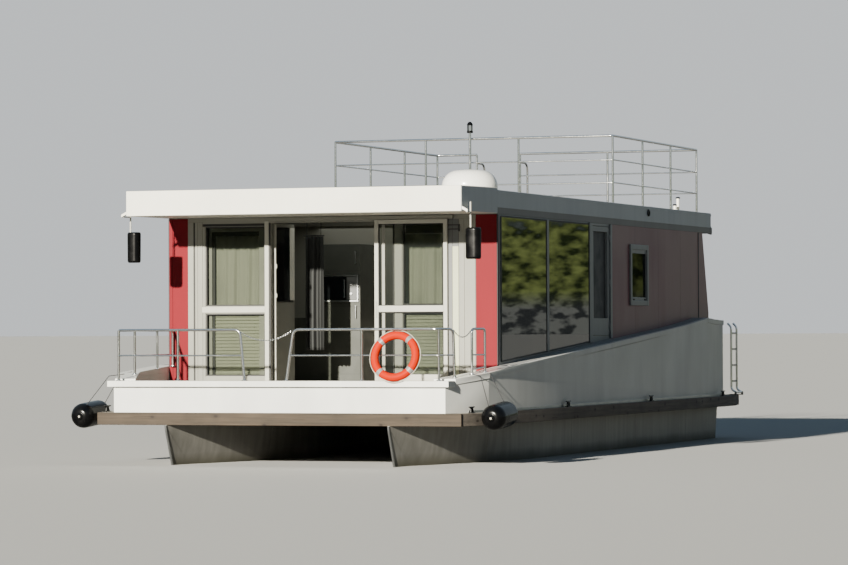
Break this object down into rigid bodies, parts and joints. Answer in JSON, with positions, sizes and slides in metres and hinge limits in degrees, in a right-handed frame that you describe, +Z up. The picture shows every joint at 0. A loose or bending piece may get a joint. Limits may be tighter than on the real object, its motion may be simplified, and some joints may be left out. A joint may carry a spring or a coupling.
{
  "type": "houseboat",
  "caption": "Flat-roofed catamaran houseboat with two pontoons, a white bulwark rising aft, a glazed cabin, a railed sun deck and an outboard motor; doors, ladder, motor and helm move.",
  "frame": {"origin": "on the ground plane under the hull bottoms, midway along and across the whole boat; the water stands 0.5 m above it", "axes": "+Z up, +Y from bow to stern, +X to port"},
  "size_m": [6.1606, 14.2565, 5.426],
  "materials": {
    "hull_metal": "grey-brown coated steel, bright along the stems",
    "deck_boards": "weathered deck boards",
    "aged_timber": "sun-bleached softwood with knots",
    "white_paint": "satin white paint",
    "red_panel": "satin red panel",
    "window_glass": "clear glass with a dark tint",
    "white_frame": "powder-coated aluminium frame",
    "grey_frame": "grey powder-coated frame",
    "grey_band": "grey soffit and fascia band",
    "dark_panel": "dark red-brown cladding",
    "stainless": "polished stainless tube",
    "gelcoat": "white gelcoat",
    "orange_shell": "orange shell with grey tape bands",
    "black_rubber": "glossy black inflated skin",
    "black_metal": "satin black paint",
    "grey_laminate": "grey laminate fronts",
    "white_laminate": "pale wall lining",
    "curtain_cloth": "thin pale curtain cloth",
    "dark_cloth": "dark grey curtain cloth"
  },
  "bodies": {
    "boat": {"hull_port": "hull_metal", "hull_starboard": "hull_metal", "bridge_deck": "deck_boards", "timber_bow": "aged_timber", "timber_port": "aged_timber", "timber_starboard": "aged_timber", "timber_stern": "aged_timber", "deck_base": "deck_boards", "bulwark": "white_paint", "deck_rim": "white_paint", "front_panel_port": "red_panel", "front_panel_starboard": "red_panel", "front_glass_starboard": "window_glass", "front_glass_port": "window_glass", "front_frame": "white_frame", "side_glass_port": "window_glass", "side_glass_starboard": "window_glass", "side_panel_port": "dark_panel", "side_panel_starboard": "dark_panel", "side_frame_port": "grey_frame", "side_frame_starboard": "grey_frame", "rear_wall": "white_paint", "ceiling_band": "grey_band", "roof_slab": "white_paint", "roof_front": "white_paint", "roof_railing": "stainless", "roof_ladder": "stainless", "roof_dome": "gelcoat", "light_mast": "stainless", "bow_rail_starboard": "stainless", "bow_rail_port": "stainless", "gate_rail_port": "stainless", "lifebuoy": "orange_shell", "fender_port": "black_rubber", "fender_starboard": "black_rubber", "mirror_port": "black_metal", "mirror_starboard": "black_metal", "outboard_clamp": "black_metal", "galley_unit": "grey_laminate", "cabin_partition": "white_laminate", "helm_console": "grey_laminate", "curtain_starboard": "curtain_cloth", "curtain_port": "curtain_cloth", "curtain_door": "dark_cloth"},
    "front_sliding_door": {"sliding_leaf": "white_frame", "sliding_glass": "window_glass"},
    "front_hinged_door": {"hinged_leaf": "white_frame", "hinged_glass": "window_glass"},
    "port_side_door": {"side_door_port": "grey_frame", "side_door_glass_port": "window_glass"},
    "starboard_side_door": {"side_door_starboard": "grey_frame", "side_door_glass_starboard": "window_glass"},
    "rear_door": {"rear_door": "white_frame", "rear_door_glass": "window_glass"},
    "boarding_ladder": {"boarding_ladder": "stainless"},
    "motor_swivel": {"outboard_swivel": "black_metal"},
    "motor": {"outboard_motor": "black_metal"},
    "propeller": {"outboard_propeller": "black_metal"},
    "helm_wheel": {"helm_wheel": "black_metal"}
  },
  "joints": [
    {"name": "front_door_slide", "type": "slide", "parent": "boat", "child": "front_sliding_door", "axis": [-1, 0, 0], "range_m": [0, 0.775]},
    {"name": "front_door_hinge", "type": "hinge", "parent": "boat", "child": "front_hinged_door", "pos_m": [-0.894, -4.946, 2.65], "axis": [0, 0, 1], "range_deg": [-90, 0]},
    {"name": "port_door_hinge", "type": "hinge", "parent": "boat", "child": "port_side_door", "pos_m": [2.408, 0.082, 2.98], "axis": [0, 0, 1], "range_deg": [0, 90]},
    {"name": "starboard_door_hinge", "type": "hinge", "parent": "boat", "child": "starboard_side_door", "pos_m": [-2.408, 0.082, 2.98], "axis": [0, 0, 1], "range_deg": [-90, 0]},
    {"name": "rear_door_hinge", "type": "hinge", "parent": "boat", "child": "rear_door", "pos_m": [1.114, 5.074, 2.6], "axis": [0, 0, 1], "range_deg": [-90, 0]},
    {"name": "ladder_swing", "type": "hinge", "parent": "boat", "child": "boarding_ladder", "pos_m": [2.7, 6.308, 1.245], "axis": [0, 1, 0], "range_deg": [0, 180]},
    {"name": "motor_tilt", "type": "hinge", "parent": "boat", "child": "motor_swivel", "pos_m": [0, 6.718, 1.27], "axis": [1, 0, 0], "range_deg": [0, 60]},
    {"name": "motor_steer", "type": "hinge", "parent": "motor_swivel", "child": "motor", "pos_m": [0, 6.798, 1.1], "axis": [0, 0, 1], "range_deg": [-35, 35]},
    {"name": "propeller_spin", "type": "hinge", "parent": "motor", "child": "propeller", "pos_m": [0, 7.018, 0.22], "axis": [0, 1, 0], "continuous": true},
    {"name": "helm_turn", "type": "hinge", "parent": "boat", "child": "helm_wheel", "pos_m": [2.05, -4.1751, 2.4592], "axis": [0, 0.9064, 0.4223], "range_deg": [-350, 350]}
  ],
  "couplings": [
    {"joint": "helm_turn", "follows": "motor_steer", "ratio": -10}
  ]
}
